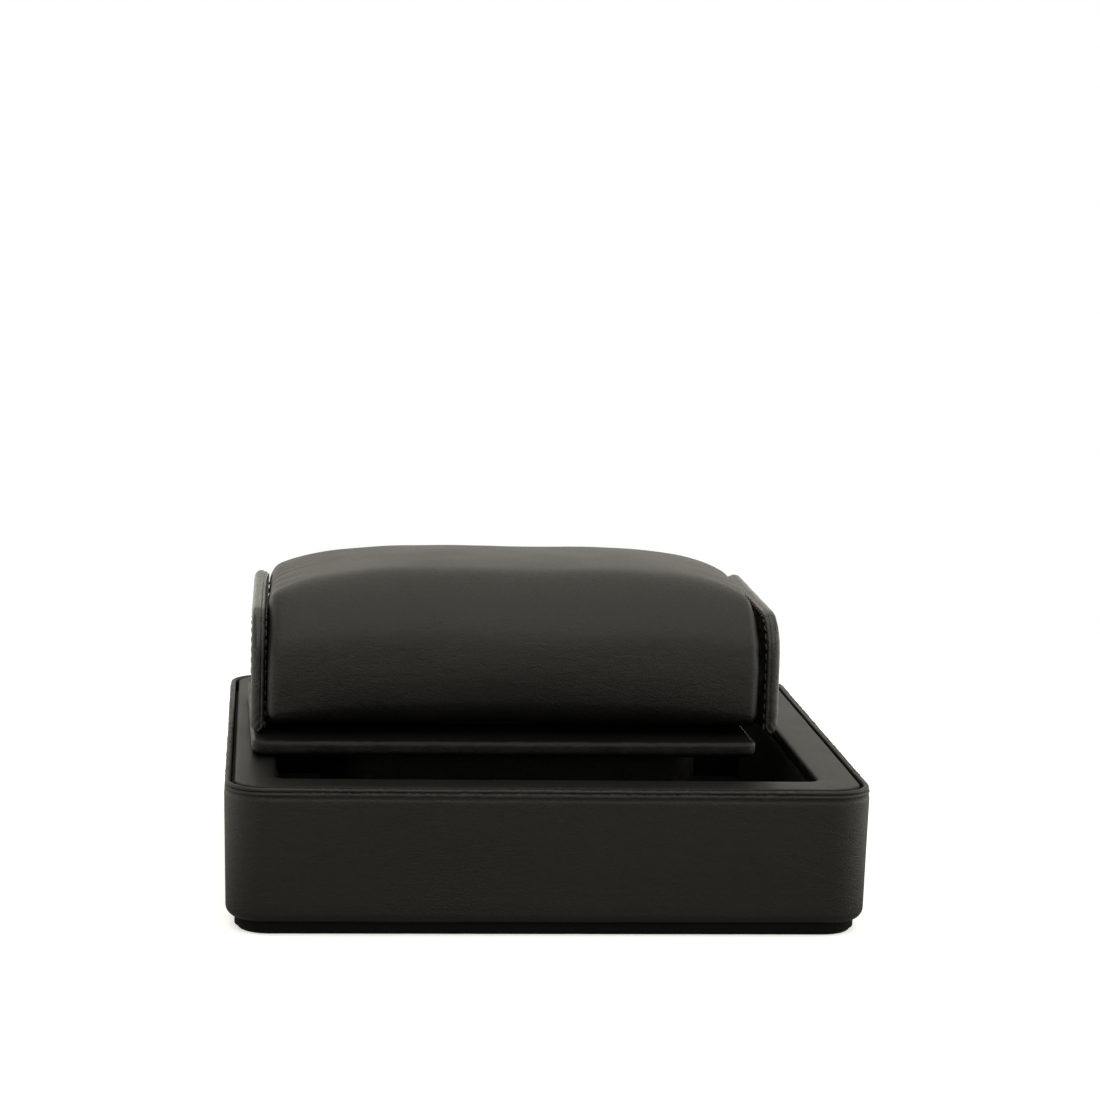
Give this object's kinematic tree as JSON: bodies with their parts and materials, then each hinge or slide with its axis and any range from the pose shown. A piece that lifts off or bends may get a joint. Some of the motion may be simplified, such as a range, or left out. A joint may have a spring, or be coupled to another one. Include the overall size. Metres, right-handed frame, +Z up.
{
  "type": "travel watch stand",
  "caption": "Low leather tray holding a lift-out cradle with a padded watch cushion between two upright leather cheeks.",
  "frame": {"origin": "middle of the underside of the tray's felt foot, on the surface that it stands on", "axes": "+X to the tray's right, +Y to its back, +Z up"},
  "size_m": [0.115, 0.1088, 0.0597],
  "materials": {
    "tray_leather": "satin",
    "cushion_leather": "satin",
    "suede_lining": "matte",
    "felt": "matte",
    "foam": "matte",
    "wood_board": "matte",
    "greyboard": "matte"
  },
  "bodies": {
    "tray": {"shell_wrap": "tray_leather", "base_board": "wood_board", "foot_board": "wood_board", "foot_felt": "felt", "wall_board_front": "wood_board", "wall_board_back": "wood_board", "wall_board_left": "wood_board", "wall_board_right": "wood_board", "ledge_core": "greyboard", "ledge_wrap": "tray_leather", "liner_panel_front": "suede_lining", "liner_panel_back": "suede_lining", "liner_panel_left": "suede_lining", "liner_panel_right": "suede_lining", "floor_pad": "suede_lining"},
    "cradle": {"pedestal_core": "wood_board", "pedestal_wrap": "tray_leather", "platform_core": "greyboard", "platform_wrap": "tray_leather", "saddle_web": "tray_leather", "cheek_core_left": "greyboard", "cheek_core_right": "greyboard", "cheek_wrap_left": "tray_leather", "cheek_wrap_right": "tray_leather"},
    "cushion": {"cushion_cover": "cushion_leather", "cushion_foam": "foam", "cushion_end_left": "cushion_leather", "cushion_end_right": "cushion_leather"}
  },
  "joints": [
    {"name": "cradle_lift", "type": "slide", "parent": "tray", "child": "cradle", "axis": [0, 0, 1], "range_m": [0, 0.03]},
    {"name": "cushion_lift", "type": "slide", "parent": "cradle", "child": "cushion", "axis": [0, 0, 1], "range_m": [0, 0.03]}
  ]
}
